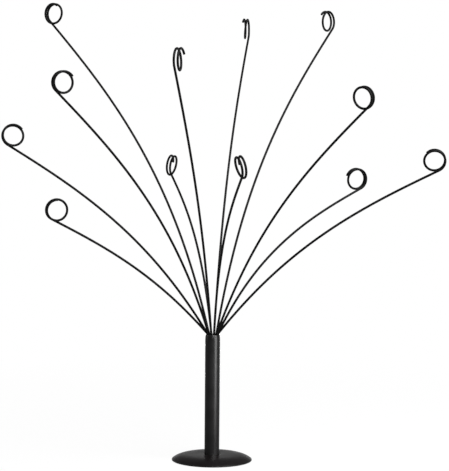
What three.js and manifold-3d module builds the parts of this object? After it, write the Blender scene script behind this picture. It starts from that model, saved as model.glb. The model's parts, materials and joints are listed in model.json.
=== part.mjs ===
// Gift card tree holder: twelve springy wire arms fan out of a tubular stem on a domed round base.
// Every arm is one length of wire that ends in an open coil, and a card is pinched between the turns.
// Millimetres, +Z up, the table at z = 0, the front of the holder towards -Y.
import * as THREE from 'three';
import { mergeVertices } from 'three/addons/utils/BufferGeometryUtils.js';
import Module from 'manifold-3d';

const RAD = Math.PI / 180;

// Clearances
const FIT_GAP = 0.15; // between turned pieces that are pressed or screwed together
const SEAT_GAP = 0.2; // between a wire root and what it stands on or is pinched by
const RUN_GAP = 0.15; // left over when an arm is sprung to its limit
const NEIGHBOUR_GAP = 0.28; // between two wire roots side by side

// Wire arms
const ARM_COUNT = 12;
const WIRE_D = 2;
const FIRST_ROOT_ANGLE = 15; // heading of the first root seen from above, degrees from +X
const FLEX_ANGLE = 6; // how far an arm springs each way, degrees
const ROOT_DEPTH = 2.6; // straight root below the pinch
const PINCH_DEPTH = 0.6; // the pinch, where the bend starts, below the lip
const MOUTH_BEND_R = 3; // radius of the tight bend at the mouth
const BEND_SHIFT = 0.6; // 0 bends an arm most at the mouth, 1 most at its middle
const COIL_R = 8.7; // radius of a clip coil to the wire's centre
const COIL_PITCH = 3.2;

// Wire between the mouth bend and the coil, cut to five lengths
const SHORTEST_ARM = 170;
const SHORT_ARM = 187;
const MIDDLE_ARM = 236;
const LONG_ARM = 255;
const LONGEST_ARM = 330;

// Arms in the order of their roots round the mouth. Heading is the direction an arm leans to, mouthLean
// and tipLean its angles from upright after the mouth bend and before the coil, length the wire between
// them, twist the turn of the coil about the end of the arm, and turns how often the wire goes round in
// the coil. All angles in degrees.
const ARMS = [
  { heading: 24.5, mouthLean: 28.1, tipLean: 63.8, length: SHORT_ARM, twist: -5, turns: 1.63 },
  { heading: 56.5, mouthLean: 17.1, tipLean: 50, length: LONGEST_ARM, twist: 1, turns: 1.52 },
  { heading: 81.5, mouthLean: 21, tipLean: 51.2, length: LONGEST_ARM, twist: -3, turns: 1.52 },
  { heading: 107.5, mouthLean: 21.6, tipLean: 62.3, length: SHORT_ARM, twist: -13, turns: 1.62 },
  { heading: 142, mouthLean: 17, tipLean: 48.3, length: LONGEST_ARM, twist: -6, turns: 1.48 },
  { heading: 185, mouthLean: 31.7, tipLean: 58, length: MIDDLE_ARM, twist: -16, turns: 1.57 },
  { heading: 199, mouthLean: 42.4, tipLean: 62.4, length: SHORTEST_ARM, twist: 3, turns: 1.43 },
  { heading: 208.5, mouthLean: 19.1, tipLean: 46.2, length: LONG_ARM, twist: -2, turns: 1.54 },
  { heading: 254, mouthLean: 14.8, tipLean: 34, length: LONG_ARM, twist: -4, turns: 1.52 },
  { heading: 281, mouthLean: 12.7, tipLean: 58.8, length: SHORT_ARM, twist: -17, turns: 1.64 },
  { heading: 319, mouthLean: 24.3, tipLean: 49.9, length: LONG_ARM, twist: -9, turns: 1.44 },
  { heading: 350.5, mouthLean: 38.3, tipLean: 63.4, length: MIDDLE_ARM, twist: -16, turns: 1.56 },
];

// Stem
const STEM_TOP = 108.4; // height of the lip above the table
const STEM_WALL = 0.53;
const LIP_WALL = 0.35;
const NECK_H = 4.5; // height over which the tube draws in to its lip
const PINCH_H = 0.6; // height of the narrowest ring inside the lip
const LIP_FLARE = 0.15; // the lip's inner edge opens by this much

// Core in the mouth
const CORE_FLANGE_H = 3;
const CORE_HEAD_H = 1;
const CORE_CHAMFER = 0.4;

// Base and pad
const BASE_R = 34.3;
const BASE_LIFT = 0.1; // the disc's rim clears the table by this much
const BASE_EDGE_H = 0.7; // upright edge of the disc
const DOME_RISE = 4.3; // from the upright edge up to the stem
const DOME_POWER = 5; // 2 is an even dome, and a higher number a flatter one that rounds down later
const RECESS_DEPTH = 0.8; // the stem stands this deep in the disc
const PAD_T = 0.9;
const PAD_INSET = 3; // the pad's edge stands back from the disc's edge
const GLUE_GAP = 0.1; // film of glue between pad and disc

// Foot plug and base screw
const PLUG_H = 14;
const PLUG_CHAMFER = 0.6;
const TAP_DEPTH = 12;
const SCREW_D = 4;
const SCREW_HEAD_D = 8;
const SCREW_L = 13;
const HEAD_SINK = 0.1; // the screw head lies this far above the pad's well
const SOCKET_ACROSS = 2.5;
const SOCKET_DEPTH = 1.4;

// Sizes that follow from those above
const WIRE_R = WIRE_D / 2;
const ROOT_PITCH = 360 / ARM_COUNT;
const ROOT_RING_R = (WIRE_D + NEIGHBOUR_GAP) / (2 * Math.sin((ROOT_PITCH * RAD) / 2));
const ROOT_SWING = ROOT_DEPTH * Math.sin(FLEX_ANGLE * RAD);
const BORE_R = ROOT_RING_R + WIRE_R + ROOT_SWING + RUN_GAP;
const STEM_R = BORE_R + STEM_WALL;
const PINCH_R = ROOT_RING_R + WIRE_R + SEAT_GAP;
const LIP_R = PINCH_R + LIP_WALL;
const PINCH_Z = STEM_TOP - PINCH_DEPTH;
const CORE_HEAD_R = ROOT_RING_R - WIRE_R - SEAT_GAP;
const CORE_NECK_R = ROOT_RING_R - WIRE_R - ROOT_SWING - RUN_GAP;
const FLANGE_R = BORE_R - FIT_GAP;
const FLANGE_TOP = PINCH_Z - ROOT_DEPTH - SEAT_GAP;
const UNDERSIDE_Z = PAD_T + GLUE_GAP;
const EDGE_TOP = BASE_LIFT + BASE_EDGE_H;
const BASE_TOP = EDGE_TOP + DOME_RISE;
const STEM_FOOT = BASE_TOP - RECESS_DEPTH;
const SCREW_R = SCREW_D / 2;
const SCREW_HEAD_R = SCREW_HEAD_D / 2;
const PAD_R = BASE_R - PAD_INSET;

// Steps of the round forms
const TURN_STEPS = 48;
const BASE_TURN_STEPS = 64;
const SCREW_TURN_STEPS = 24;
const WIRE_SIDES = 8;
const BEND_STEPS = 4;
const ARC_STEPS = 13;
const ARC_SUBSTEPS = 8;
const COIL_STEPS_PER_TURN = 22;
const CURVE_STEPS = 6;
const DOME_STEPS = 12;

function finish(name, color, roughness, metalness) {
  return new THREE.MeshStandardMaterial({ name, color, roughness, metalness });
}

const wireBlack = finish('wire_black', 0x15151a, 0.42, 0.1);
const coatBlack = finish('coat_black', 0x17171b, 0.5, 0.1);
const plainSteel = finish('plain_steel', 0x8b8d91, 0.4, 1);
const zincSteel = finish('zinc_steel', 0xb4b6b8, 0.35, 1);
const padFoam = finish('pad_foam', 0x202022, 0.95, 0);

// A path whose rings stand at the given points, one after the other.
class RingPath extends THREE.Curve {
  constructor(points) {
    super();
    this.points = points;
  }

  getUtoTmapping(u) {
    return u;
  }

  getPoint(t, target = new THREE.Vector3()) {
    const last = this.points.length - 1;
    const place = Math.min(Math.max(t, 0), 1) * last;
    const index = Math.min(Math.floor(place), last - 1);
    return target.lerpVectors(this.points[index], this.points[index + 1], place - index);
  }
}

// Share of an arm's whole change of lean that is reached at x, from 0 at the mouth to 1 at the coil.
function leanShare(x) {
  const mostAtMouth = 2 * x - x * x;
  const mostAtMiddle = 3 * x * x - 2 * x * x * x;
  return (1 - BEND_SHIFT) * mostAtMouth + BEND_SHIFT * mostAtMiddle;
}

// Centre line of an arm: x outwards, z up, and the pinch at the origin. The coil starts at index coilStart.
function armCentreLine({ mouthLean, tipLean, length, twist, turns }) {
  const points = [new THREE.Vector3(0, 0, -ROOT_DEPTH), new THREE.Vector3(0, 0, 0)];
  for (let i = 1; i <= BEND_STEPS; i += 1) {
    const lean = (mouthLean * RAD * i) / BEND_STEPS;
    points.push(new THREE.Vector3(MOUTH_BEND_R * (1 - Math.cos(lean)), 0, MOUTH_BEND_R * Math.sin(lean)));
  }
  const end = points[points.length - 1].clone();
  const step = length / (ARC_STEPS * ARC_SUBSTEPS);
  for (let i = 0; i < ARC_STEPS * ARC_SUBSTEPS; i += 1) {
    const share = leanShare((i + 0.5) / (ARC_STEPS * ARC_SUBSTEPS));
    const lean = (mouthLean + (tipLean - mouthLean) * share) * RAD;
    end.x += step * Math.sin(lean);
    end.z += step * Math.cos(lean);
    if ((i + 1) % ARC_SUBSTEPS === 0) {
      points.push(end.clone());
    }
  }
  const coilStart = points.length - 1;
  const along = new THREE.Vector3(Math.sin(tipLean * RAD), 0, Math.cos(tipLean * RAD));
  const inward = new THREE.Vector3(-Math.cos(tipLean * RAD), 0, Math.sin(tipLean * RAD));
  inward.applyAxisAngle(along, -twist * RAD);
  const axis = new THREE.Vector3().crossVectors(inward, along);
  const coilSteps = Math.round(COIL_STEPS_PER_TURN * turns);
  for (let i = 1; i <= coilSteps; i += 1) {
    const turn = (turns * i) / coilSteps;
    const angle = turn * 2 * Math.PI;
    const point = end.clone();
    point.addScaledVector(inward, COIL_R * (1 - Math.cos(angle)));
    point.addScaledVector(along, COIL_R * Math.sin(angle));
    point.addScaledVector(axis, COIL_PITCH * turn);
    points.push(point);
  }
  return { points, coilStart };
}

// Least clear gap of a coil to itself and to its arm, between points over half a turn of wire apart.
function leastCoilGap({ points, coilStart }) {
  const travelled = [0];
  for (let i = 1; i < points.length; i += 1) {
    travelled.push(travelled[i - 1] + points[i].distanceTo(points[i - 1]));
  }
  let least = Infinity;
  for (let i = coilStart; i < points.length; i += 1) {
    for (let j = 0; j < i; j += 1) {
      if (travelled[i] - travelled[j] > Math.PI * COIL_R) {
        least = Math.min(least, points[i].distanceTo(points[j]) - WIRE_D);
      }
    }
  }
  return least;
}

function wireArm(spec, index) {
  const line = armCentreLine(spec);
  const section = new THREE.Shape();
  for (let i = 0; i < WIRE_SIDES; i += 1) {
    const angle = (2 * Math.PI * i) / WIRE_SIDES;
    const corner = [WIRE_R * Math.cos(angle), WIRE_R * Math.sin(angle)];
    if (i === 0) {
      section.moveTo(...corner);
    } else {
      section.lineTo(...corner);
    }
  }
  section.closePath();
  const geometry = new THREE.ExtrudeGeometry(section, {
    steps: line.points.length - 1,
    bevelEnabled: false,
    extrudePath: new RingPath(line.points),
  });
  const arm = new THREE.Mesh(geometry, wireBlack);
  arm.name = `arm_${String(index + 1).padStart(2, '0')}`;
  const rootAngle = (FIRST_ROOT_ANGLE + ROOT_PITCH * index) * RAD;
  arm.position.set(ROOT_RING_R * Math.cos(rootAngle), ROOT_RING_R * Math.sin(rootAngle), PINCH_Z);
  arm.rotation.z = spec.heading * RAD;
  console.log(`${arm.name}: least gap of the coil to itself ${leastCoilGap(line).toFixed(2)} mm`);
  return arm;
}

// A turned piece: the outline runs anticlockwise in radius and height, on the right of the axis.
function turned(name, outline, material, steps = TURN_STEPS) {
  const points = outline.map(([r, z]) => new THREE.Vector2(r, z));
  const geometry = new THREE.LatheGeometry(points, steps);
  geometry.rotateX(Math.PI / 2);
  const piece = new THREE.Mesh(geometry, material);
  piece.name = name;
  return piece;
}

function stemTube() {
  const neck = [];
  for (let i = 0; i <= CURVE_STEPS; i += 1) {
    const share = i / CURVE_STEPS;
    neck.push([STEM_R - (STEM_R - LIP_R) * share * share, STEM_TOP - NECK_H * (1 - share)]);
  }
  const pinchTop = PINCH_Z + PINCH_H / 2;
  const pinchBottom = PINCH_Z - PINCH_H / 2;
  const outline = [
    [BORE_R, STEM_FOOT],
    [STEM_R, STEM_FOOT],
    ...neck,
    [PINCH_R + LIP_FLARE, STEM_TOP],
    [PINCH_R, pinchTop],
    [PINCH_R, pinchBottom],
    [BORE_R, pinchBottom - 2 * (BORE_R - PINCH_R)],
    [BORE_R, STEM_FOOT],
  ];
  return turned('stem_tube', outline, coatBlack);
}

function stemCore() {
  const headBottom = PINCH_Z - CORE_HEAD_H / 2;
  const headTop = headBottom + CORE_HEAD_H;
  const outline = [
    [0, FLANGE_TOP - CORE_FLANGE_H],
    [FLANGE_R - CORE_CHAMFER, FLANGE_TOP - CORE_FLANGE_H],
    [FLANGE_R, FLANGE_TOP - CORE_FLANGE_H + CORE_CHAMFER],
    [FLANGE_R, FLANGE_TOP],
    [CORE_NECK_R, FLANGE_TOP],
    [CORE_NECK_R, headBottom - (CORE_HEAD_R - CORE_NECK_R)],
    [CORE_HEAD_R, headBottom],
    [CORE_HEAD_R, headTop - CORE_CHAMFER],
    [CORE_HEAD_R - CORE_CHAMFER, headTop],
    [0, headTop],
  ];
  return turned('stem_core', outline, plainSteel);
}

function footPlug() {
  const radius = BORE_R - FIT_GAP;
  const bore = SCREW_R + FIT_GAP;
  const top = STEM_FOOT + PLUG_H;
  const outline = [
    [bore, STEM_FOOT + FIT_GAP],
    [radius, STEM_FOOT + FIT_GAP],
    [radius, top - PLUG_CHAMFER],
    [radius - PLUG_CHAMFER, top],
    [0, top],
    [0, STEM_FOOT + TAP_DEPTH],
    [bore, STEM_FOOT + TAP_DEPTH],
    [bore, STEM_FOOT + FIT_GAP],
  ];
  return turned('foot_plug', outline, plainSteel);
}

// Domed disc with a well for the pad below and a recess for the stem on top.
function baseDisc() {
  const recess = STEM_R + FIT_GAP;
  const hole = SCREW_R + FIT_GAP;
  const sink = SCREW_HEAD_R + FIT_GAP;
  const well = PAD_R + FIT_GAP;
  const dome = [];
  for (let i = 0; i <= DOME_STEPS; i += 1) {
    const share = 1 - (i / DOME_STEPS) * (i / DOME_STEPS);
    dome.push([recess + (BASE_R - recess) * share, EDGE_TOP + DOME_RISE * (1 - share ** DOME_POWER)]);
  }
  const outline = [
    [sink, UNDERSIDE_Z],
    [well, UNDERSIDE_Z],
    [well, BASE_LIFT],
    [BASE_R, BASE_LIFT],
    ...dome,
    [recess, STEM_FOOT - FIT_GAP],
    [hole, STEM_FOOT - FIT_GAP],
    [hole, UNDERSIDE_Z + (sink - hole)],
    [sink, UNDERSIDE_Z],
  ];
  return turned('base_disc', outline, coatBlack, BASE_TURN_STEPS);
}

const wasm = await Module();
wasm.setup();

function toSolid(geometry) {
  const bare = new THREE.BufferGeometry();
  bare.setAttribute('position', geometry.getAttribute('position').clone());
  bare.setIndex(geometry.getIndex());
  const merged = mergeVertices(bare, 1e-4);
  return new wasm.Manifold(
    new wasm.Mesh({
      numProp: 3,
      vertProperties: new Float32Array(merged.getAttribute('position').array),
      triVerts: new Uint32Array(merged.getIndex().array),
    }),
  );
}

function toGeometry(solid) {
  const mesh = solid.getMesh();
  const geometry = new THREE.BufferGeometry();
  geometry.setAttribute('position', new THREE.BufferAttribute(mesh.vertProperties, 3));
  geometry.setIndex(new THREE.BufferAttribute(mesh.triVerts, 1));
  const flat = geometry.toNonIndexed();
  flat.computeVertexNormals();
  return flat;
}

function baseScrew() {
  const bottom = UNDERSIDE_Z + HEAD_SINK;
  const outline = [
    [0, bottom],
    [SCREW_HEAD_R, bottom],
    [SCREW_R, bottom + SCREW_HEAD_R - SCREW_R],
    [SCREW_R, bottom + SCREW_L],
    [0, bottom + SCREW_L],
  ];
  const blank = turned('base_screw', outline, zincSteel, SCREW_TURN_STEPS);
  const corner = SOCKET_ACROSS / Math.sqrt(3);
  const key = new THREE.CylinderGeometry(corner, corner, 2 * SOCKET_DEPTH, 6);
  key.rotateX(Math.PI / 2);
  key.translate(0, 0, bottom);
  blank.geometry = toGeometry(toSolid(blank.geometry).subtract(toSolid(key)));
  return blank;
}

function basePad() {
  const geometry = new THREE.CylinderGeometry(PAD_R, PAD_R, PAD_T, TURN_STEPS);
  geometry.rotateX(Math.PI / 2);
  geometry.translate(0, 0, PAD_T / 2);
  const pad = new THREE.Mesh(geometry, padFoam);
  pad.name = 'base_pad';
  return pad;
}

const holder = new THREE.Group();
holder.name = 'gift_card_tree_holder';
const stand = new THREE.Group();
stand.name = 'stand';
stand.add(basePad(), baseDisc(), baseScrew(), footPlug(), stemTube(), stemCore());
const fan = new THREE.Group();
fan.name = 'fan';
ARMS.forEach((spec, index) => fan.add(wireArm(spec, index)));
holder.add(stand, fan);

export default holder;
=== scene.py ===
"""Gift card tree holder: twelve springy wire arms fan out of a tubular stem on a domed round base.

Round enamelled wire, a powder-coated stem and base, turned steel fittings and a foam pad are built over the
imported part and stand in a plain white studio. Metres, +Z up, the table at z = 0, the front towards -Y.
"""

import json
import math
from collections import namedtuple

import bpy
import numpy as np
from bpy.props import FloatProperty, FloatVectorProperty, IntProperty, PointerProperty
from mathutils import Matrix, Vector


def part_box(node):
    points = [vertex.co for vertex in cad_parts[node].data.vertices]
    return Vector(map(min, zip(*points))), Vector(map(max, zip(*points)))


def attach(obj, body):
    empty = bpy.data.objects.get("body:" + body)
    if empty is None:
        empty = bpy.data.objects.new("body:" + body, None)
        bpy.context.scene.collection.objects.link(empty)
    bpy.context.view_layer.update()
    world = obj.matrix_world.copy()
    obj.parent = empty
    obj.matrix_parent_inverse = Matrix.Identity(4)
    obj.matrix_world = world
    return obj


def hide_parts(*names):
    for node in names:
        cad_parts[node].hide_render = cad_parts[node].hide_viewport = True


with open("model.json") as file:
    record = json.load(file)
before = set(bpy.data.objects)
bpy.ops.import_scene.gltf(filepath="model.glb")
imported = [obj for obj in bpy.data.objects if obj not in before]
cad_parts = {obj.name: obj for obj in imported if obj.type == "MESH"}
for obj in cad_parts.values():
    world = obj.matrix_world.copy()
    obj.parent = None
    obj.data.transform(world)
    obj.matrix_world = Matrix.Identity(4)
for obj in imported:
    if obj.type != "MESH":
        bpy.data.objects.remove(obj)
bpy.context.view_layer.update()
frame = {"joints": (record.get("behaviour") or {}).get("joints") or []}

bl_info = {
    "name": "Gift Card Tree Holder",
    "version": (1, 0, 0),
    "blender": (4, 5, 0),
    "location": "View3D > Sidebar > Card Tree",
    "description": "Builds the pieces, finishes and studio of a wire card tree",
    "category": "Object",
}

MM = 0.001

# Wire between the mouth bend and the coil, cut to five lengths
SHORTEST_ARM = 170 * MM
SHORT_ARM = 187 * MM
MIDDLE_ARM = 236 * MM
LONG_ARM = 255 * MM
LONGEST_ARM = 330 * MM

# Leans from upright after the mouth bend and before the coil, wire between them, turn of the coil about the
# end of the arm, and turns in the coil. Angles in degrees. Root and heading of an arm come from its joint.
ArmShape = namedtuple("ArmShape", "mouth_lean tip_lean length twist turns")
ARM_SHAPES = {
    "arm_01": ArmShape(28.1, 63.8, SHORT_ARM, -5, 1.63),
    "arm_02": ArmShape(17.1, 50, LONGEST_ARM, 1, 1.52),
    "arm_03": ArmShape(21, 51.2, LONGEST_ARM, -3, 1.52),
    "arm_04": ArmShape(21.6, 62.3, SHORT_ARM, -13, 1.62),
    "arm_05": ArmShape(17, 48.3, LONGEST_ARM, -6, 1.48),
    "arm_06": ArmShape(31.7, 58, MIDDLE_ARM, -16, 1.57),
    "arm_07": ArmShape(42.4, 62.4, SHORTEST_ARM, 3, 1.43),
    "arm_08": ArmShape(19.1, 46.2, LONG_ARM, -2, 1.54),
    "arm_09": ArmShape(14.8, 34, LONG_ARM, -4, 1.52),
    "arm_10": ArmShape(12.7, 58.8, SHORT_ARM, -17, 1.64),
    "arm_11": ArmShape(24.3, 49.9, LONG_ARM, -9, 1.44),
    "arm_12": ArmShape(38.3, 63.4, MIDDLE_ARM, -16, 1.56),
}
ARM_JOINTS = {joint["child"]: joint for joint in frame["joints"]}

# Lowest and highest corners of the turned nodes, which set the sizes that show
STEM_LOW, STEM_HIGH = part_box("stem_tube")
CORE_LOW, CORE_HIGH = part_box("stem_core")
DISC_LOW, DISC_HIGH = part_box("base_disc")
PAD_LOW, PAD_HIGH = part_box("base_pad")
PLUG_LOW, PLUG_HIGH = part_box("foot_plug")
SCREW_LOW, SCREW_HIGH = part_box("base_screw")

# Width and height, place and target of the softboxes
LampForm = namedtuple("LampForm", "size place target")
KEY_LAMP = LampForm((1.6, 1.6), (0.9, -0.9, 1.6), (0.0, 0.0, 0.15))
FILL_LAMP = LampForm((0.5, 0.6), (-1.1, 0.08, 0.32), (0.0, 0.0, 0.32))
STRIP_LAMP = LampForm((0.16, 0.19), (0.24, -0.187, 0.09), (0.0, 0.0, 0.09))
LIP_LAMP = LampForm((0.5, 0.22), (0.42, -1.2, 0.55), (0.0, 0.0, 0.108))
BACK_LAMP = LampForm((0.1, 0.19), (0.0, 0.36, 0.09), (0.0, 0.0, 0.09))


def length_property(label, description, default):
    """A length in metres, shown finely enough for thin wire."""
    return FloatProperty(
        name=label, description=description, default=default, min=0.0, precision=5, unit="LENGTH"
    )


def angle_property(label, description, degrees):
    """An angle, whose default is given in degrees."""
    return FloatProperty(name=label, description=description, default=math.radians(degrees), subtype="ANGLE")


def share_property(label, description, default):
    """A share from 0 to 1."""
    return FloatProperty(
        name=label, description=description, default=default, min=0.0, max=1.0, subtype="FACTOR"
    )


def power_property(label, description, default):
    """The power of a lamp in watts."""
    return FloatProperty(name=label, description=description, default=default, min=0.0, unit="POWER")


def colour_property(label, description, default):
    """A linear colour."""
    return FloatVectorProperty(
        name=label, description=description, default=default, min=0.0, max=1.0, size=3, subtype="COLOR"
    )


def steps_property(label, description, default):
    """A count of faces round a piece."""
    return IntProperty(name=label, description=description, default=default, min=3)


class CARDTREE_PG_wire(bpy.types.PropertyGroup):
    """Wire of the arms and the form of their clip coils"""

    diameter: length_property("Diameter", "Thickness of the wire", 2 * MM)
    root_depth: length_property("Root depth", "Straight root below the pinch in the mouth", 2.6 * MM)
    mouth_bend: length_property("Mouth bend", "Radius of the tight bend at the mouth", 3 * MM)
    bend_shift: share_property("Bend shift", "0 bends an arm most at the mouth, 1 most at its middle", 0.6)
    coil_radius: length_property("Coil radius", "Radius of a clip coil to the wire's centre", 8.7 * MM)
    coil_pitch: length_property("Coil pitch", "Step between the turns of a coil", 3.2 * MM)
    end_round: length_property("End round", "Rounding of the cut wire end", 0.25 * MM)
    sides: steps_property("Sides", "Faces round the wire", 16)


class CARDTREE_PG_stem(bpy.types.PropertyGroup):
    """Stem tube, its drawn-in neck and the core in its mouth"""

    radius: length_property("Radius", "Outer radius of the tube", STEM_HIGH.x)
    foot: length_property("Foot", "Height of the tube's foot", STEM_LOW.z)
    top: length_property("Top", "Height of the lip", STEM_HIGH.z)
    wall: length_property("Wall", "Thickness of the tube", 0.53 * MM)
    lip_wall: length_property("Lip wall", "Thickness of the tube at the pinch", 0.35 * MM)
    neck: length_property("Neck height", "Height over which the tube draws in to its lip", 4.5 * MM)
    neck_draw: length_property("Neck draw", "How far the tube draws in at its lip", 0.402 * MM)
    pinch_depth: length_property("Pinch depth", "Depth of the narrowest ring below the lip", 0.6 * MM)
    pinch_height: length_property("Pinch height", "Height of the narrowest ring", 0.6 * MM)
    lip_flare: length_property("Lip flare", "Opening of the lip's inner edge", 0.15 * MM)
    edge_round: length_property("Edge round", "Rounding of the edges of tube and core", 0.08 * MM)
    core_head: length_property("Core head radius", "Radius of the core between the wires", 3.205 * MM)
    core_head_height: length_property("Core head height", "Height of the core's head", 1 * MM)
    core_neck: length_property("Core neck radius", "Radius of the core below its head", 2.983 * MM)
    core_flange_height: length_property("Core flange height", "Height of the core's flange", 3 * MM)
    core_chamfer: length_property("Core chamfer", "Chamfers of the core", 0.4 * MM)


class CARDTREE_PG_base(bpy.types.PropertyGroup):
    """Domed base disc, its pad, and the plug and screw that hold the stem"""

    radius: length_property("Radius", "Radius of the disc", DISC_HIGH.x)
    lift: length_property("Lift", "Height of the disc's rim above the table", DISC_LOW.z)
    top: length_property("Top", "Height of the dome at the stem", DISC_HIGH.z)
    edge_height: length_property("Edge height", "Height of the disc's upright edge", 0.7 * MM)
    edge_round: length_property("Edge round", "Rounding between the upright edge and the dome", 0.35 * MM)
    foot_round: length_property("Foot round", "Rounding of the disc's lower edge", 0.2 * MM)
    dome_power: FloatProperty(
        name="Dome power",
        description="2 is an even dome, and more a flatter one that rounds down later",
        default=5.0,
        min=1.0,
    )
    well_top: length_property("Well top", "Height of the ceiling over the pad", 1 * MM)
    fit_gap: length_property("Fit gap", "Clearance between turned pieces", 0.15 * MM)
    turned_round: length_property("Turned round", "Rounding of turned edges that don't show", 0.1 * MM)
    pad_round: length_property("Pad round", "Rounding of the pad's edges", 0.2 * MM)
    plug_chamfer: length_property("Plug chamfer", "Chamfer of the foot plug", 0.6 * MM)
    tap_depth: length_property("Tap depth", "Depth of the hole in the foot plug", 12 * MM)
    screw_radius: length_property("Screw radius", "Radius of the screw's shank", 2 * MM)
    screw_round: length_property("Screw round", "Rounding of the screw's edges", 0.08 * MM)
    socket_across: length_property("Socket", "Width across the flats of the screw's socket", 2.5 * MM)
    socket_depth: length_property("Socket depth", "Depth of the screw's socket", 1.4 * MM)


class CARDTREE_PG_finish(bpy.types.PropertyGroup):
    """Colours and gloss of the finishes"""

    stem_dark: colour_property("Stem coat", "Powder coat of the stem", (0.004, 0.0039, 0.004))
    stem_light: colour_property("Stem mottle", "Lighter mottle of the stem", (0.0068, 0.0066, 0.0068))
    stem_rough: share_property("Stem roughness", "Roughness of the stem's coat", 0.275)
    stem_sheen: share_property("Stem sheen", "Strength of the stem's reflections", 0.22)
    base_dark: colour_property("Base coat", "Warmer powder coat of the base", (0.0054, 0.0038, 0.0042))
    base_light: colour_property("Base mottle", "Lighter mottle of the base", (0.0083, 0.0063, 0.0068))
    base_rough: share_property("Base roughness", "Roughness of the base's coat", 0.32)
    base_sheen: share_property("Base sheen", "Strength of the base's reflections", 0.33)
    # Lighter coat along the lip and rim edges: real wear from rubbing, and partly a painted highlight where
    # those edges catch the light.
    rubbed_and_highlit: colour_property("Rubbed coat", "Coat where edges are rubbed", (0.022, 0.022, 0.022))
    rub_highlight_reach: length_property("Rub reach", "Rubbing reaches this far from an edge", 1.2 * MM)
    wire_dark: colour_property("Enamel", "Enamel of the wire", (0.004, 0.004, 0.0042))
    wire_light: colour_property("Enamel mottle", "Lighter mottle of the enamel", (0.0068, 0.0068, 0.007))
    wire_rough: share_property("Enamel roughness", "Roughness of the enamel", 0.44)
    wire_sheen: share_property("Enamel sheen", "Strength of the enamel's reflections", 0.16)
    dust: colour_property("Dust", "Fine dust on faces that look up", (0.2, 0.195, 0.185))
    coat_dust: share_property("Coat dust", "Share of dust on stem and base", 0.05)
    wire_dust: share_property("Enamel dust", "Share of dust on the wire", 0.04)
    steel: colour_property("Turned steel", "Core and foot plug", (0.5, 0.5, 0.51))
    zinc: colour_property("Zinc", "Plating of the base screw", (0.62, 0.63, 0.64))
    foam_dark: colour_property("Foam", "Foam of the pad", (0.014, 0.014, 0.0145))
    foam_light: colour_property("Foam cells", "Lighter cell walls of the foam", (0.035, 0.035, 0.036))


class CARDTREE_PG_stage(bpy.types.PropertyGroup):
    """Camera, lights and floor"""

    camera_place: FloatVectorProperty(
        name="Camera",
        description="Where the camera stands",
        default=(0.00943, -1.694, 0.3385),
        subtype="TRANSLATION",
    )
    camera_dip: angle_property("Dip", "Camera's angle below the horizon", 4.901)
    camera_roll: angle_property("Roll", "Camera's turn about its own axis", 0.45)
    camera_lens: FloatProperty(
        name="Lens", description="Focal length in millimetres", default=152.866, min=1.0, unit="CAMERA"
    )
    floor_size: length_property("Floor", "Side of the floor", 12.0)
    floor_drop: length_property("Floor drop", "Floor below the pad", 0.2 * MM)
    floor_colour: colour_property("Floor colour", "Pale grey of the floor", (0.35, 0.35, 0.35))
    floor_light: share_property("Floor light", "Brightness of the lit floor round the base", 0.29)
    floor_shade: share_property("Floor shade", "Share of the lit floor in the white seen at the base", 0.4)
    shadow_reach: length_property("Shadow reach", "The floor shows shadows this far from the stem", 0.6)
    room_light: FloatProperty(name="Room", description="Even light from all round", default=0.13, min=0.0)
    sweep_top: angle_property("Sweep", "Height angle of the white behind the object", 9)
    key_power: power_property("Key", "Power of the large high softbox", 47.0)
    fill_power: power_property("Fill", "Power of the softbox on the left", 1.0)
    strip_power: power_property("Strip", "Power of the low softbox on the stem", 1.15)
    lip_power: power_property("Lip", "Power of the softbox for the gleam under the lip", 20.0)
    back_power: power_property("Back", "Power of the softbox behind the stem", 0.9)


class CARDTREE_PG_settings(bpy.types.PropertyGroup):
    """All settings of the holder"""

    wire: PointerProperty(type=CARDTREE_PG_wire)
    stem: PointerProperty(type=CARDTREE_PG_stem)
    base: PointerProperty(type=CARDTREE_PG_base)
    finish: PointerProperty(type=CARDTREE_PG_finish)
    stage: PointerProperty(type=CARDTREE_PG_stage)


# Surfaces

STEM_COLUMNS = 96
DISC_COLUMNS = 144
FITTING_COLUMNS = 72
ROOT_ROWS = 4
BEND_ROWS = 10
ARC_ROWS = 110
COIL_ROWS_PER_TURN = 64
END_ROWS = 6
CURVE_ROWS = 40
FILLET_STEPS = 6

# Past each end of a fillet's arc one more row, this share of the fillet away, keeps the side beside it flat.
# A rounded corner has the arc's rows and these two.
HOLD_SHARE = 0.25
CORNER_ROWS = FILLET_STEPS + 1 + 2


def unit(vectors):
    """Vectors over their lengths."""
    return vectors / np.linalg.norm(vectors, axis=-1, keepdims=True)


def mesh_piece(name, points, faces, material):
    """A smooth mesh object at the origin from an array of points and a list of faces."""
    mesh = bpy.data.meshes.new(name)
    mesh.from_pydata(points.reshape(-1, 3).tolist(), [], faces)
    mesh.polygons.foreach_set("use_smooth", np.ones(len(mesh.polygons), dtype=bool))
    mesh.materials.append(material)
    if mesh.validate():
        raise RuntimeError(f"{name}: the surface has faulty faces")
    piece = bpy.data.objects.new(name, mesh)
    bpy.context.scene.collection.objects.link(piece)
    return piece


def ring_quads(index, closed=False):
    """Quads between neighbouring rows of an index grid whose columns run round. The rows of a closed grid
    run round too."""
    lower = index if closed else index[:-1]
    upper = np.roll(index, -1, 0) if closed else index[1:]
    quads = np.stack([lower, np.roll(lower, -1, 1), np.roll(upper, -1, 1), upper], -1)
    return quads.reshape(-1, 4).tolist()


def capped_faces(rows, columns):
    """Faces of a grid of rings that closes in a single point before its first and after its last row."""
    index = np.arange(rows * columns).reshape(rows, columns)
    start, end = rows * columns, rows * columns + 1
    first, last = index[0], index[-1]
    start_fan = np.stack([np.full(columns, start), np.roll(first, -1), first], -1)
    end_fan = np.stack([np.full(columns, end), last, np.roll(last, -1)], -1)
    return start_fan.tolist() + ring_quads(index) + end_fan.tolist()


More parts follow.
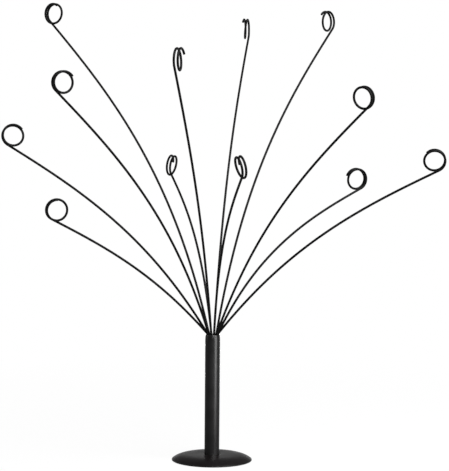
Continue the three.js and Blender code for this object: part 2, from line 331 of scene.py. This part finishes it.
def rounded(corners, closed=False):
    """Outline through corners of radius, height and fillet. A fillet is the arc that touches both sides of
    its corner: its ends lie fillet / tan(half the corner's angle) from the corner, and its centre lies on
    the bisector."""
    corners = np.array(corners, float)
    places, fillets = corners[:, :2], corners[:, 2]
    share = np.linspace(0, 1, FILLET_STEPS + 1)[:, None]
    outline = []
    for i, (corner, fillet) in enumerate(zip(places, fillets)):
        at_end = not closed and i in (0, len(places) - 1)
        if at_end or fillet == 0:
            outline.append(corner)
            continue
        before = unit(places[i - 1] - corner)
        after = unit(places[(i + 1) % len(places)] - corner)
        half = math.acos(float(np.clip(before @ after, -1, 1))) / 2
        centre = corner + unit(before + after) * fillet / math.sin(half)
        first = corner + before * fillet / math.tan(half) - centre
        last = corner + after * fillet / math.tan(half) - centre
        sweep = math.pi - 2 * half
        arc = (np.sin((1 - share) * sweep) * first + np.sin(share * sweep) * last) / math.sin(sweep)
        hold = fillet * HOLD_SHARE
        outline += [centre + first + before * hold, centre + arc, centre + last + after * hold]
    return np.vstack(outline)


def turned_points(outline, columns):
    """Points of a turned surface: (r cos a, r sin a, z) for each outline point (r, z) and each angle a round
    the axis."""
    angle = np.linspace(0, 2 * math.pi, columns, endpoint=False)
    radius, height = outline[:, :1], outline[:, 1:]
    return np.stack([radius * np.cos(angle), radius * np.sin(angle), height + 0 * angle], -1)


def turned_tube(name, outline, columns, material):
    """A turned piece with a bore: its outline is a loop, anticlockwise in radius and height."""
    points = turned_points(outline, columns)
    index = np.arange(points[..., 0].size).reshape(points.shape[:2])
    return mesh_piece(name, points, ring_quads(index, closed=True), material)


def turned_solid(name, outline, columns, material, hexed_rows=0):
    """A turned piece without a bore: its outline runs anticlockwise from the axis back to the axis. In the
    first hexed rows the radius grows to that of a hexagon round the circle, by 1 / cos of the angle from the
    nearest flat."""
    rings = turned_points(outline[1:-1], columns)
    angle = np.linspace(0, 2 * math.pi, columns, endpoint=False)
    off_flat = (angle + math.pi / 6) % (math.pi / 3) - math.pi / 6
    rings[:hexed_rows, :, :2] /= np.cos(off_flat)[:, None]
    poles = np.array([[0, 0, outline[0, 1]], [0, 0, outline[-1, 1]]])
    points = np.vstack([rings.reshape(-1, 3), poles])
    return mesh_piece(name, points, capped_faces(*rings.shape[:2]), material)


def mark_rub_and_highlight(piece, radius, height, reach):
    """Point attribute for the lighter edge, worn and partly a painted highlight: 1 on the edge with a radius
    and height, falling to 0 at the reach from it.
    """
    points = np.empty(len(piece.data.vertices) * 3)
    piece.data.vertices.foreach_get("co", points)
    x, y, z = points.reshape(-1, 3).T
    gap = np.hypot(np.hypot(x, y) - radius, z - height)
    attribute = piece.data.attributes.new("rub_highlight", "FLOAT", "POINT")
    attribute.data.foreach_set("value", np.clip(1 - gap / reach, 0, 1))


def seat(piece, body, node):
    """The piece rides on a body of the frame and stands for a node, whose imported part it hides."""
    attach(piece, body)
    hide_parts(node)


# Finishes

# Colour sockets of a Mix node
MIX_FIRST, MIX_SECOND, MIX_RESULT = 6, 7, 2

# Mottle adds up to this to the roughness of the powder coat and of the enamel, and rubbing takes up to
# RUB_POLISH off the coat's.
COAT_ROUGHENED = 0.06
WIRE_ROUGHENED = 0.08
RUB_POLISH = 0.1

# Stained metal keeps this share of its colour.
STAINED_SHARE = 0.72


def add(tree, kind, inputs=None, **settings):
    """A new node with its settings, and its inputs set to values or linked to sockets."""
    node = tree.nodes.new(kind)
    for key, value in settings.items():
        setattr(node, key, value)
    for key, value in (inputs or {}).items():
        if isinstance(value, bpy.types.NodeSocket):
            tree.links.new(value, node.inputs[key])
        else:
            node.inputs[key].default_value = value
    return node


def computed(tree, operation, *values):
    """The result of a Math node."""
    return add(tree, "ShaderNodeMath", dict(enumerate(values)), operation=operation).outputs[0]


def mixed(tree, share, first, second):
    """Colour between two colours, by a share from 0 to 1."""
    inputs = {0: share, MIX_FIRST: first, MIX_SECOND: second}
    return add(tree, "ShaderNodeMix", inputs, data_type="RGBA").outputs[MIX_RESULT]


def remapped(tree, value, low=0.0, high=1.0, new_low=0.0, new_high=1.0):
    """A value mapped from one range to another and held inside it."""
    ends = {"Value": value, "From Min": low, "From Max": high, "To Min": new_low, "To Max": new_high}
    return add(tree, "ShaderNodeMapRange", ends).outputs["Result"]


def noise(tree, place, scale, detail):
    """Noise from 0 to 1 over a place in metres, with about as many lumps in a metre as the scale."""
    inputs = {"Vector": place, "Scale": scale, "Detail": detail}
    return add(tree, "ShaderNodeTexNoise", inputs).outputs["Fac"]


def axis_parts(tree, vector):
    """The X, Y and Z of a vector."""
    return add(tree, "ShaderNodeSeparateXYZ", {"Vector": vector}).outputs


def new_group(name, inputs, outputs):
    """An empty shader node group with named sockets, and its input and output nodes."""
    group = bpy.data.node_groups.new(name, "ShaderNodeTree")
    for label, kind in inputs:
        group.interface.new_socket(name=label, in_out="INPUT", socket_type=kind)
    for label in outputs:
        group.interface.new_socket(name=label, in_out="OUTPUT", socket_type="NodeSocketFloat")
    return group, group.nodes.new("NodeGroupInput").outputs, group.nodes.new("NodeGroupOutput").inputs


def coat_skin_group():
    """Skin of a sprayed coat: fine orange peel as a height, and slow mottle from 0 to 1."""
    sockets = [("Place", "NodeSocketVector"), ("Peel", "NodeSocketFloat"), ("Mottle", "NodeSocketFloat")]
    group, given, result = new_group("coat_skin", sockets, ["Height", "Mottle"])
    peel = noise(group, given["Place"], given["Peel"], detail=2.0)
    slow = noise(group, given["Place"], given["Mottle"], detail=4.0)
    group.links.new(peel, result["Height"])
    group.links.new(remapped(group, slow, low=0.35, high=0.65), result["Mottle"])
    return group


def settled_dust_group():
    """Dust on faces that look up: the normal's height times broken noise."""
    group, given, result = new_group("settled_dust", [("Place", "NodeSocketVector")], ["Dust"])
    normal = add(group, "ShaderNodeNewGeometry").outputs["Normal"]
    facing = remapped(group, axis_parts(group, normal)["Z"], low=0.55, high=1.0)
    specks = noise(group, given["Place"], scale=900.0, detail=5.0)
    broken = remapped(group, specks, low=0.55, high=0.75)
    group.links.new(computed(group, "MULTIPLY", facing, broken), result["Dust"])
    return group


def lathe_marks_group():
    """Tool marks of a lathe: noise along the sum of the distance from the axis and the height, so that it
    runs in rings."""
    sockets = [("Place", "NodeSocketVector"), ("Lines", "NodeSocketFloat")]
    group, given, result = new_group("lathe_marks", sockets, ["Height", "Streak"])
    level = {0: given["Place"], 1: (1.0, 1.0, 0.0)}
    flat = add(group, "ShaderNodeVectorMath", level, operation="MULTIPLY").outputs[0]
    radius = add(group, "ShaderNodeVectorMath", {0: flat}, operation="LENGTH").outputs["Value"]
    travel = computed(group, "ADD", radius, axis_parts(group, given["Place"])["Z"])
    inputs = {"W": travel, "Scale": given["Lines"], "Detail": 3.0}
    rings = add(group, "ShaderNodeTexNoise", inputs, noise_dimensions="1D").outputs["Fac"]
    group.links.new(rings, result["Height"])
    group.links.new(remapped(group, rings, low=0.3, high=0.7), result["Streak"])
    return group


def shared_group(name):
    """The named node group, built when it is first asked for."""
    makers = {
        "coat_skin": coat_skin_group,
        "settled_dust": settled_dust_group,
        "lathe_marks": lathe_marks_group,
    }
    return bpy.data.node_groups.get(name) or makers[name]()


def effect(tree, name, **inputs):
    """The outputs of a shared node group placed in a material."""
    return add(tree, "ShaderNodeGroup", inputs, node_tree=shared_group(name)).outputs


def new_material(name):
    """A new material, its emptied tree, and the place on the piece in metres."""
    material = bpy.data.materials.new(name)
    material.use_nodes = True
    tree = material.node_tree
    tree.nodes.clear()
    place = add(tree, "ShaderNodeTexCoord").outputs["Object"]
    return material, tree, place


def surface(tree, colour, roughness, height, bump_depth, bump_strength, sheen=0.5, metallic=0.0):
    """A Principled surface from colour, roughness and height, with its even values on its own sockets."""
    relief = {"Height": height, "Strength": bump_strength, "Distance": bump_depth}
    bump = add(tree, "ShaderNodeBump", relief)
    inputs = {
        "Base Color": colour,
        "Roughness": roughness,
        "Normal": bump.outputs["Normal"],
        "Specular IOR Level": sheen,
        "Metallic": metallic,
    }
    shader = add(tree, "ShaderNodeBsdfPrincipled", inputs)
    add(tree, "ShaderNodeOutputMaterial", {"Surface": shader.outputs["BSDF"]})


def opaque(colour):
    """A colour with full alpha."""
    return (*colour, 1.0)


def powder_coat(name, dark, light, rough, sheen):
    """Satin powder coat from a dark and a lighter black: orange peel, mottle, a trace of dust, and lighter
    edges for wear from rubbing and partly a painted highlight."""
    finish = bpy.context.scene.card_tree.finish
    material, tree, place = new_material(name)
    skin = effect(tree, "coat_skin", Place=place, Peel=1500.0, Mottle=70.0)
    dust = effect(tree, "settled_dust", Place=place)["Dust"]
    rub_highlight = add(tree, "ShaderNodeAttribute", attribute_name="rub_highlight").outputs["Fac"]
    rubbed_and_highlit = computed(tree, "MULTIPLY", rub_highlight, skin["Mottle"])
    thin_dust = computed(tree, "MULTIPLY", dust, finish.coat_dust)
    coat = mixed(tree, skin["Mottle"], opaque(dark), opaque(light))
    # Lighter at the marked edges: wear from rubbing, and partly a painted highlight.
    coat = mixed(tree, rubbed_and_highlit, coat, opaque(finish.rubbed_and_highlit))
    coat = mixed(tree, thin_dust, coat, opaque(finish.dust))
    satin = remapped(tree, skin["Mottle"], new_low=rough, new_high=rough + COAT_ROUGHENED)
    polished = computed(tree, "MULTIPLY_ADD", rubbed_and_highlit, -RUB_POLISH, satin)
    surface(tree, coat, polished, skin["Height"], bump_depth=0.02 * MM, bump_strength=0.25, sheen=sheen)
    return material


def stem_coat():
    """Powder coat of the stem."""
    finish = bpy.context.scene.card_tree.finish
    colours = finish.stem_dark, finish.stem_light
    return powder_coat("powder_coat_stem", *colours, finish.stem_rough, finish.stem_sheen)


def base_coat():
    """Powder coat of the base, a little warmer and rougher than the stem's."""
    finish = bpy.context.scene.card_tree.finish
    colours = finish.base_dark, finish.base_light
    return powder_coat("powder_coat_base", *colours, finish.base_rough, finish.base_sheen)


def wire_enamel():
    """Satin black enamel on drawn wire: fine peel, mottle and a trace of dust."""
    finish = bpy.context.scene.card_tree.finish
    material, tree, place = new_material("wire_enamel_black")
    skin = effect(tree, "coat_skin", Place=place, Peel=2600.0, Mottle=120.0)
    dust = effect(tree, "settled_dust", Place=place)["Dust"]
    thin_dust = computed(tree, "MULTIPLY", dust, finish.wire_dust)
    enamel = mixed(tree, skin["Mottle"], opaque(finish.wire_dark), opaque(finish.wire_light))
    enamel = mixed(tree, thin_dust, enamel, opaque(finish.dust))
    rough, sheen = finish.wire_rough, finish.wire_sheen
    satin = remapped(tree, skin["Mottle"], new_low=rough, new_high=rough + WIRE_ROUGHENED)
    surface(tree, enamel, satin, skin["Height"], bump_depth=0.01 * MM, bump_strength=0.2, sheen=sheen)
    return material


def turned_metal(name, colour, lines):
    """Bare turned metal with the rings that a lathe leaves."""
    material, tree, place = new_material(name)
    marks = effect(tree, "lathe_marks", Place=place, Lines=lines)
    stain = effect(tree, "coat_skin", Place=place, Peel=2000.0, Mottle=160.0)["Mottle"]
    stained = tuple(STAINED_SHARE * part for part in colour)
    metal = mixed(tree, stain, opaque(stained), opaque(colour))
    grain = remapped(tree, marks["Streak"], new_low=0.26, new_high=0.42)
    surface(tree, metal, grain, marks["Height"], bump_depth=0.01 * MM, bump_strength=0.4, metallic=1.0)
    return material


def turned_steel():
    """Turned steel of the core and the foot plug."""
    return turned_metal("turned_steel", bpy.context.scene.card_tree.finish.steel, lines=9000.0)


def zinc_plate():
    """Zinc plate over the coarser marks of the screw."""
    return turned_metal("zinc_plate", bpy.context.scene.card_tree.finish.zinc, lines=6000.0)


def pad_foam():
    """Closed-cell foam: rounded cells with paler walls."""
    finish = bpy.context.scene.card_tree.finish
    material, tree, place = new_material("pad_foam_black")
    cells = add(tree, "ShaderNodeTexVoronoi", {"Vector": place, "Scale": 2200.0}).outputs["Distance"]
    mottle = effect(tree, "coat_skin", Place=place, Peel=1800.0, Mottle=90.0)["Mottle"]
    walls = remapped(tree, cells, low=0.1, high=0.7)
    foam = mixed(tree, walls, opaque(finish.foam_dark), opaque(finish.foam_light))
    matt = remapped(tree, mottle, new_low=0.85, new_high=0.97)
    surface(tree, foam, matt, walls, bump_depth=0.06 * MM, bump_strength=0.5, sheen=0.3)
    return material


def shared_material(maker, name):
    """The named material, made when it is first asked for."""
    return bpy.data.materials.get(name) or maker()


# Pieces

# The shoulder under the pinch is this many times as high as it draws in.
SHOULDER_SLOPE = 2

# The dome ends this share of its width before the upright edge, and the edge's rounding takes over.
DOME_END_SHARE = 0.0144


def arm_line(shape, wire):
    """Centre line of an arm in its own plane, and a direction across it at each point: x outwards, y across,
    z up, and the pinch at the origin.

    A straight root, then a bend of constant radius from upright to the mouth lean, then an arc along which
    the lean grows from mouth to tip by a mix of 2 x - x^2 and 3 x^2 - 2 x^3, then a helix that starts along
    the arc's end and winds about an axis across it, turned about the arc's end by the twist."""
    mouth, tip, twist = np.radians([shape.mouth_lean, shape.tip_lean, shape.twist])
    root = np.zeros((ROOT_ROWS, 3))
    root[:, 2] = np.linspace(-wire.root_depth, 0, ROOT_ROWS, endpoint=False)
    turn = np.linspace(0, mouth, BEND_ROWS)
    bend = wire.mouth_bend * np.stack([1 - np.cos(turn), 0 * turn, np.sin(turn)], -1)
    x = (np.arange(ARC_ROWS) + 0.5) / ARC_ROWS
    grown = (1 - wire.bend_shift) * (2 * x - x**2) + wire.bend_shift * (3 * x**2 - 2 * x**3)
    lean = mouth + (tip - mouth) * grown
    steps = shape.length / ARC_ROWS * np.stack([np.sin(lean), 0 * lean, np.cos(lean)], -1)
    arc = bend[-1] + np.cumsum(steps, axis=0)
    across = np.array([0.0, 1.0, 0.0])
    along = np.array([math.sin(tip), 0, math.cos(tip)])
    inward = math.cos(twist) * np.array([-math.cos(tip), 0, math.sin(tip)]) + math.sin(twist) * across
    axis = np.cross(inward, along)
    rows = round(COIL_ROWS_PER_TURN * shape.turns)
    turns = np.linspace(0, shape.turns, rows + 1)[1:, None]
    angle = 2 * math.pi * turns
    ring = (1 - np.cos(angle)) * inward + np.sin(angle) * along
    coil = arc[-1] + wire.coil_radius * ring + wire.coil_pitch * turns * axis
    lift = np.concatenate([0 * root[:, 0], turn, lean])[:, None]
    straight_side = np.cos(lift) * [-1, 0, 0] + np.sin(lift) * [0, 0, 1]
    coil_side = np.cos(angle) * inward - np.sin(angle) * along
    return np.vstack([root, bend, arc, coil]), np.vstack([straight_side, coil_side])


def wire_arm(name, shape, wire, material):
    """Round wire along the centre line: circles across it, whose radius falls along a quarter circle to a
    flat, closed end at root and tip. The arm is set at its joint, with y along the joint's axis."""
    line, side = arm_line(shape, wire)
    heading = unit(np.gradient(line, axis=0))
    side = unit(side - (side * heading).sum(1, keepdims=True) * heading)
    flank = np.cross(heading, side)
    turn = np.linspace(0, math.pi / 2, END_ROWS)[:, None]
    back = wire.end_round * (1 - np.sin(turn))
    drawn = wire.diameter / 2 - wire.end_round * (1 - np.cos(turn))
    start, end = line[0] + back[::-1] * heading[0], line[-1] - back * heading[-1]
    rows = np.vstack([start, line[1:-1], end])
    radii = np.vstack([drawn[::-1], np.full((len(line) - 2, 1), wire.diameter / 2), drawn])
    last = len(line) - 1
    source = np.concatenate([np.full(END_ROWS, 0), np.arange(1, last), np.full(END_ROWS, last)])
    angle = np.linspace(0, 2 * math.pi, wire.sides, endpoint=False)[None, :, None]
    circle = np.cos(angle) * side[source, None] + np.sin(angle) * flank[source, None]
    rings = rows[:, None] + radii[:, None] * circle
    points = np.vstack([rings.reshape(-1, 3), line[[0, -1]]])
    joint = ARM_JOINTS[name]
    pivot, sideways = np.array(joint["pos_m"]), np.array(joint["axis"])
    outward = np.cross(sideways, [0, 0, 1])
    points = pivot + points @ np.stack([outward, sideways, [0, 0, 1]])
    return mesh_piece(f"wire_{name}", points, capped_faces(*rings.shape[:2]), material)


class CARDTREE_OT_wire_arms(bpy.types.Operator):
    """Build the twelve wire arms with their clip coils"""

    bl_idname = "card_tree.wire_arms"
    bl_label = "Wire Arms"

    def execute(self, context):
        material = shared_material(wire_enamel, "wire_enamel_black")
        for name, shape in ARM_SHAPES.items():
            arm = wire_arm(name, shape, context.scene.card_tree.wire, material)
            seat(arm, name, name)
        return {"FINISHED"}


class CARDTREE_OT_stem_tube(bpy.types.Operator):
    """Build the stem tube with its drawn-in neck and pinched mouth"""

    bl_idname = "card_tree.stem_tube"
    bl_label = "Stem Tube"

    def execute(self, context):
        settings = context.scene.card_tree
        stem, edge = settings.stem, settings.stem.edge_round
        bore = stem.radius - stem.wall
        lip = stem.radius - stem.neck_draw
        pinch = lip - stem.lip_wall
        pinch_top = stem.top - stem.pinch_depth + stem.pinch_height / 2
        pinch_foot = pinch_top - stem.pinch_height
        neck_foot = stem.top - stem.neck
        # The neck draws in by the square of the share of its height.
        share = np.linspace(0, 1, CURVE_ROWS)[:-1]
        neck = np.stack([stem.radius - stem.neck_draw * share**2, stem.top - stem.neck * (1 - share)], -1)
        foot_corners = [
            (bore, stem.foot, edge),
            (stem.radius, stem.foot, edge),
            (stem.radius, neck_foot, 0),
            (bore, neck_foot, 0),
        ]
        mouth_corners = [
            (*neck[-1], 0),
            (lip, stem.top, edge),
            (pinch + stem.lip_flare, stem.top, edge),
            (pinch, pinch_top, edge),
            (pinch, pinch_foot, edge),
            (bore, pinch_foot - SHOULDER_SLOPE * (bore - pinch), edge),
            (bore, stem.foot, edge),
        ]
        # The last corners of the foot and the outer ones of the mouth only lead the fillets beside them.
        foot = rounded(foot_corners, closed=True)[: 2 * CORNER_ROWS]
        mouth = rounded(mouth_corners)[1:-1]
        outline = np.vstack([foot, neck, mouth])
        tube = turned_tube("stem_tube_coated", outline, STEM_COLUMNS, stem_coat())
        # The lip's edge is painted lighter: wear from rubbing, and partly a painted highlight.
        mark_rub_and_highlight(tube, lip, stem.top, settings.finish.rub_highlight_reach)
        seat(tube, "stand", "stem_tube")
        return {"FINISHED"}


class CARDTREE_OT_stem_core(bpy.types.Operator):
    """Build the core that holds the wire roots apart in the mouth"""

    bl_idname = "card_tree.stem_core"
    bl_label = "Stem Core"

    def execute(self, context):
        stem = context.scene.card_tree.stem
        flange_top = CORE_LOW.z + stem.core_flange_height
        head_foot = CORE_HIGH.z - stem.core_head_height
        flange, chamfer, edge = CORE_HIGH.x, stem.core_chamfer, stem.edge_round
        corners = [
            (0, CORE_LOW.z, 0),
            (flange - chamfer, CORE_LOW.z, edge),
            (flange, CORE_LOW.z + chamfer, edge),
            (flange, flange_top, edge),
            (stem.core_neck, flange_top, edge),
            (stem.core_neck, head_foot - (stem.core_head - stem.core_neck), edge),
            (stem.core_head, head_foot, edge),
            (stem.core_head, CORE_HIGH.z - chamfer, edge),
            (stem.core_head - chamfer, CORE_HIGH.z, edge),
            (0, CORE_HIGH.z, 0),
        ]
        material = shared_material(turned_steel, "turned_steel")
        core = turned_solid("stem_core_turned", rounded(corners), FITTING_COLUMNS, material)
        seat(core, "stand", "stem_core")
        return {"FINISHED"}


class CARDTREE_OT_base_disc(bpy.types.Operator):
    """Build the domed base disc with its rounded edge and the recess for the stem"""

    bl_idname = "card_tree.base_disc"
    bl_label = "Base Disc"

    def execute(self, context):
        settings = context.scene.card_tree
        base, stem, edge = settings.base, settings.stem, settings.base.turned_round
        recess = stem.radius + base.fit_gap
        hole = base.screw_radius + base.fit_gap
        sink = SCREW_HIGH.x + base.fit_gap
        well = PAD_HIGH.x + base.fit_gap
        rim_top = base.lift + base.edge_height
        floor = stem.foot - base.fit_gap
        # The dome falls from the stem by a power of the share of its width. Its rows crowd towards the rim.
        share = 1 - np.linspace(math.sqrt(DOME_END_SHARE), 1, CURVE_ROWS) ** 2
        fall = (base.top - rim_top) * share**base.dome_power
        dome = np.stack([recess + (base.radius - recess) * share, base.top - fall], -1)
        corners = [
            (recess, base.top, 0),
            (recess, floor, edge),
            (hole, floor, edge),
            (hole, base.well_top + (sink - hole), edge),
            (sink, base.well_top, edge),
            (well, base.well_top, edge),
            (well, base.lift, edge),
            (base.radius, base.lift, base.foot_round),
            (base.radius, rim_top, base.edge_round),
            (*dome[0], 0),
        ]
        outline = np.vstack([rounded(corners)[1:-1], dome])
        disc = turned_tube("base_disc_coated", outline, DISC_COLUMNS, base_coat())
        # The rim's upper edge is painted lighter: wear from rubbing, and partly a painted highlight.
        mark_rub_and_highlight(disc, base.radius, rim_top, settings.finish.rub_highlight_reach)
        seat(disc, "stand", "base_disc")
        return {"FINISHED"}


class CARDTREE_OT_base_pad(bpy.types.Operator):
    """Build the foam pad under the base"""

    bl_idname = "card_tree.base_pad"
    bl_label = "Base Pad"

    def execute(self, context):
        edge = context.scene.card_tree.base.pad_round
        corners = [
            (0, PAD_LOW.z, 0),
            (PAD_HIGH.x, PAD_LOW.z, edge),
            (PAD_HIGH.x, PAD_HIGH.z, edge),
            (0, PAD_HIGH.z, 0),
        ]
        material = shared_material(pad_foam, "pad_foam_black")
        pad = turned_solid("base_pad_foam", rounded(corners), DISC_COLUMNS, material)
        seat(pad, "stand", "base_pad")
        return {"FINISHED"}


class CARDTREE_OT_foot_plug(bpy.types.Operator):
    """Build the tapped plug in the stem's foot"""

    bl_idname = "card_tree.foot_plug"
    bl_label = "Foot Plug"

    def execute(self, context):
        base = context.scene.card_tree.base
        bore = base.screw_radius + base.fit_gap
        tap_top = PLUG_LOW.z - base.fit_gap + base.tap_depth
        radius, chamfer, edge = PLUG_HIGH.x, base.plug_chamfer, base.turned_round
        corners = [
            (0, tap_top, 0),
            (bore, tap_top, edge),
            (bore, PLUG_LOW.z, edge),
            (radius, PLUG_LOW.z, edge),
            (radius, PLUG_HIGH.z - chamfer, edge),
            (radius - chamfer, PLUG_HIGH.z, edge),
            (0, PLUG_HIGH.z, 0),
        ]
        material = shared_material(turned_steel, "turned_steel")
        plug = turned_solid("foot_plug_turned", rounded(corners), FITTING_COLUMNS, material)
        seat(plug, "stand", "foot_plug")
        return {"FINISHED"}


class CARDTREE_OT_base_screw(bpy.types.Operator):
    """Build the countersunk screw with its six-sided socket"""

    bl_idname = "card_tree.base_screw"
    bl_label = "Base Screw"

    def execute(self, context):
        base = context.scene.card_tree.base
        head, shank, edge = SCREW_HIGH.x, base.screw_radius, base.screw_round
        low, high = SCREW_LOW.z, SCREW_HIGH.z
        socket = base.socket_across / 2
        corners = [
            (0, low + base.socket_depth, 0),
            (socket, low + base.socket_depth, edge),
            (socket, low, edge),
            (head, low, edge),
            (shank, low + head - shank, edge),
            (shank, high, edge),
            (0, high, 0),
        ]
        socket_rows = 2 * CORNER_ROWS
        material = shared_material(zinc_plate, "zinc_plate")
        outline = rounded(corners)
        screw = turned_solid("base_screw_plated", outline, FITTING_COLUMNS, material, socket_rows)
        seat(screw, "stand", "base_screw")
        return {"FINISHED"}


# Stage

# Millimetres, like the lens
SENSOR_WIDTH = 36.0

# Mirrored rays see white in the room behind the object, a little to the right: it comes in as the ray's
# y + SWEEP_TURN x goes from SWEEP_START to SWEEP_FULL. Its top fades over SWEEP_FADE of its height each way.
SWEEP_TURN = 0.15
SWEEP_START = 0.75
SWEEP_FULL = 0.95
SWEEP_FADE = 0.5

# On the floor that white comes in between these depths behind the stem.
FLOOR_WHITE_START = 0.7
FLOOR_WHITE_FULL = 1.4

# Shadows show in full up to this share of their reach.
FULL_SHADOW_SHARE = 0.2

WHITE = (1.0, 1.0, 1.0, 1.0)


def softbox(name, power, form):
    """A rectangular lamp of a form's width and height at its place, facing its target, that the camera
    doesn't see."""
    data = bpy.data.lights.new(name, "AREA")
    data.shape = "RECTANGLE"
    data.energy = power
    data.size, data.size_y = form.size
    lamp = bpy.data.objects.new(name, data)
    lamp.location = form.place
    lamp.rotation_euler = (Vector(form.target) - Vector(form.place)).to_track_quat("-Z", "Y").to_euler()
    lamp.visible_camera = False
    bpy.context.scene.collection.objects.link(lamp)
    return lamp


def stem_softboxes(stage):
    """Softboxes that light the stem alone, because the domed base would mirror them at a grazing angle."""
    lit = bpy.data.collections.new("lit_by_stem_lamps")
    lit.objects.link(bpy.data.objects["stem_tube_coated"])
    lamps = [
        softbox("strip_softbox", stage.strip_power, STRIP_LAMP),
        softbox("lip_softbox", stage.lip_power, LIP_LAMP),
        softbox("back_softbox", stage.back_power, BACK_LAMP),
    ]
    for lamp in lamps:
        lamp.light_linking.receiver_collection = lit


def seen_white(tree, behind):
    """1 for what the camera sees, and for mirrored and refracted rays the share that lies behind the
    object."""
    path = add(tree, "ShaderNodeLightPath").outputs
    bent = computed(tree, "MAXIMUM", path["Is Glossy Ray"], path["Is Transmission Ray"])
    return computed(tree, "MAXIMUM", path["Is Camera Ray"], computed(tree, "MULTIPLY", bent, behind))


def studio_room(stage):
    """White for the camera, and an even dim light for the rest. Mirrored and refracted rays see white too,
    from the floor up to the sweep's top behind the object."""
    world = bpy.data.worlds.new("studio_room")
    world.use_nodes = True
    tree = world.node_tree
    tree.nodes.clear()
    ray = axis_parts(tree, add(tree, "ShaderNodeTexCoord").outputs["Generated"])
    top = math.sin(stage.sweep_top)
    fade = SWEEP_FADE * top
    low = remapped(tree, ray["Z"], low=top - fade, high=top + fade, new_low=1.0, new_high=0.0)
    across = computed(tree, "MULTIPLY_ADD", ray["X"], SWEEP_TURN, ray["Y"])
    back = remapped(tree, across, low=SWEEP_START, high=SWEEP_FULL)
    seen = seen_white(tree, computed(tree, "MULTIPLY", low, back))
    strength = remapped(tree, seen, new_low=stage.room_light, new_high=1.0)
    light = add(tree, "ShaderNodeBackground", {"Color": WHITE, "Strength": strength})
    add(tree, "ShaderNodeOutputWorld", {"Surface": light.outputs["Background"]})
    world.cycles.sampling_method = "NONE"
    bpy.context.scene.world = world


def pale_floor(stage):
    """A pale floor that the camera sees as white, and so do mirrored and refracted rays far behind the
    object. The camera sees the lit floor in part, and so the shadow, falling to none at the shadow's reach.
    The white makes up for it by (1 - share of the lit floor x its brightness) / (1 - share of the lit
    floor)."""
    material, tree, place = new_material("studio_floor")
    depth = axis_parts(tree, place)["Y"]
    seen = seen_white(tree, remapped(tree, depth, low=FLOOR_WHITE_START, high=FLOOR_WHITE_FULL))
    distance = add(tree, "ShaderNodeVectorMath", {0: place}, operation="LENGTH").outputs["Value"]
    near, far = FULL_SHADOW_SHARE * stage.shadow_reach, stage.shadow_reach
    lit = remapped(tree, distance, low=near, high=far, new_low=stage.floor_shade, new_high=0.0)
    rest = computed(tree, "SUBTRACT", 1.0, lit)
    missing = computed(tree, "MULTIPLY_ADD", lit, -stage.floor_light, 1.0)
    strength = computed(tree, "DIVIDE", missing, rest)
    share = computed(tree, "MULTIPLY", seen, rest)
    pale = add(tree, "ShaderNodeBsdfDiffuse", {"Color": opaque(stage.floor_colour)})
    white = add(tree, "ShaderNodeEmission", {"Color": WHITE, "Strength": strength})
    both = add(tree, "ShaderNodeMixShader", {0: share, 1: pale.outputs[0], 2: white.outputs[0]})
    add(tree, "ShaderNodeOutputMaterial", {"Surface": both.outputs[0]})
    return material


def photo_camera(stage):
    """A camera at its place that looks towards +Y, dips and rolls."""
    data = bpy.data.cameras.new("photo_camera")
    data.sensor_width = SENSOR_WIDTH
    data.lens = stage.camera_lens
    camera = bpy.data.objects.new("photo_camera", data)
    dip = Matrix.Rotation(math.pi / 2 - stage.camera_dip, 4, "X")
    roll = Matrix.Rotation(stage.camera_roll, 4, "Z")
    camera.matrix_world = Matrix.Translation(stage.camera_place) @ dip @ roll
    bpy.context.scene.collection.objects.link(camera)
    return camera


class CARDTREE_OT_stage(bpy.types.Operator):
    """Build the floor, the lights and the camera"""

    bl_idname = "card_tree.stage"
    bl_label = "Stage"

    def execute(self, context):
        stage = context.scene.card_tree.stage
        context.scene.view_settings.view_transform = "Standard"
        studio_room(stage)
        corners = stage.floor_size / 2 * np.array([[-1, -1, 0], [1, -1, 0], [1, 1, 0], [-1, 1, 0]], float)
        corners[:, 2] = -stage.floor_drop
        mesh_piece("floor", corners, [[0, 1, 2, 3]], pale_floor(stage))
        softbox("key_softbox", stage.key_power, KEY_LAMP)
        softbox("fill_softbox", stage.fill_power, FILL_LAMP)
        stem_softboxes(stage)
        context.scene.camera = photo_camera(stage)
        return {"FINISHED"}


class CARDTREE_PT_panel(bpy.types.Panel):
    """Builders and settings of the holder"""

    bl_idname = "CARDTREE_PT_panel"
    bl_label = "Card Tree"
    bl_space_type = "VIEW_3D"
    bl_region_type = "UI"
    bl_category = "Card Tree"

    def draw(self, context):
        for builder in BUILDERS:
            self.layout.operator(builder.bl_idname)
        settings = context.scene.card_tree
        for group in (settings.wire, settings.stem, settings.base, settings.finish, settings.stage):
            box = self.layout.box()
            for key in group.bl_rna.properties.keys():
                if key not in {"rna_type", "name"}:
                    box.prop(group, key)


BUILDERS = (
    CARDTREE_OT_wire_arms,
    CARDTREE_OT_stem_tube,
    CARDTREE_OT_stem_core,
    CARDTREE_OT_base_disc,
    CARDTREE_OT_base_pad,
    CARDTREE_OT_foot_plug,
    CARDTREE_OT_base_screw,
    CARDTREE_OT_stage,
)
CLASSES = (
    CARDTREE_PG_wire,
    CARDTREE_PG_stem,
    CARDTREE_PG_base,
    CARDTREE_PG_finish,
    CARDTREE_PG_stage,
    CARDTREE_PG_settings,
    *BUILDERS,
    CARDTREE_PT_panel,
)


def register():
    for cls in CLASSES:
        bpy.utils.register_class(cls)
    bpy.types.Scene.card_tree = PointerProperty(type=CARDTREE_PG_settings)


def unregister():
    del bpy.types.Scene.card_tree
    for cls in reversed(CLASSES):
        bpy.utils.unregister_class(cls)


def main():
    """Build the holder and its stage."""
    register()
    bpy.ops.card_tree.wire_arms()
    bpy.ops.card_tree.stem_tube()
    bpy.ops.card_tree.stem_core()
    bpy.ops.card_tree.base_disc()
    bpy.ops.card_tree.base_pad()
    bpy.ops.card_tree.foot_plug()
    bpy.ops.card_tree.base_screw()
    bpy.ops.card_tree.stage()


if __name__ == "__main__":
    main()
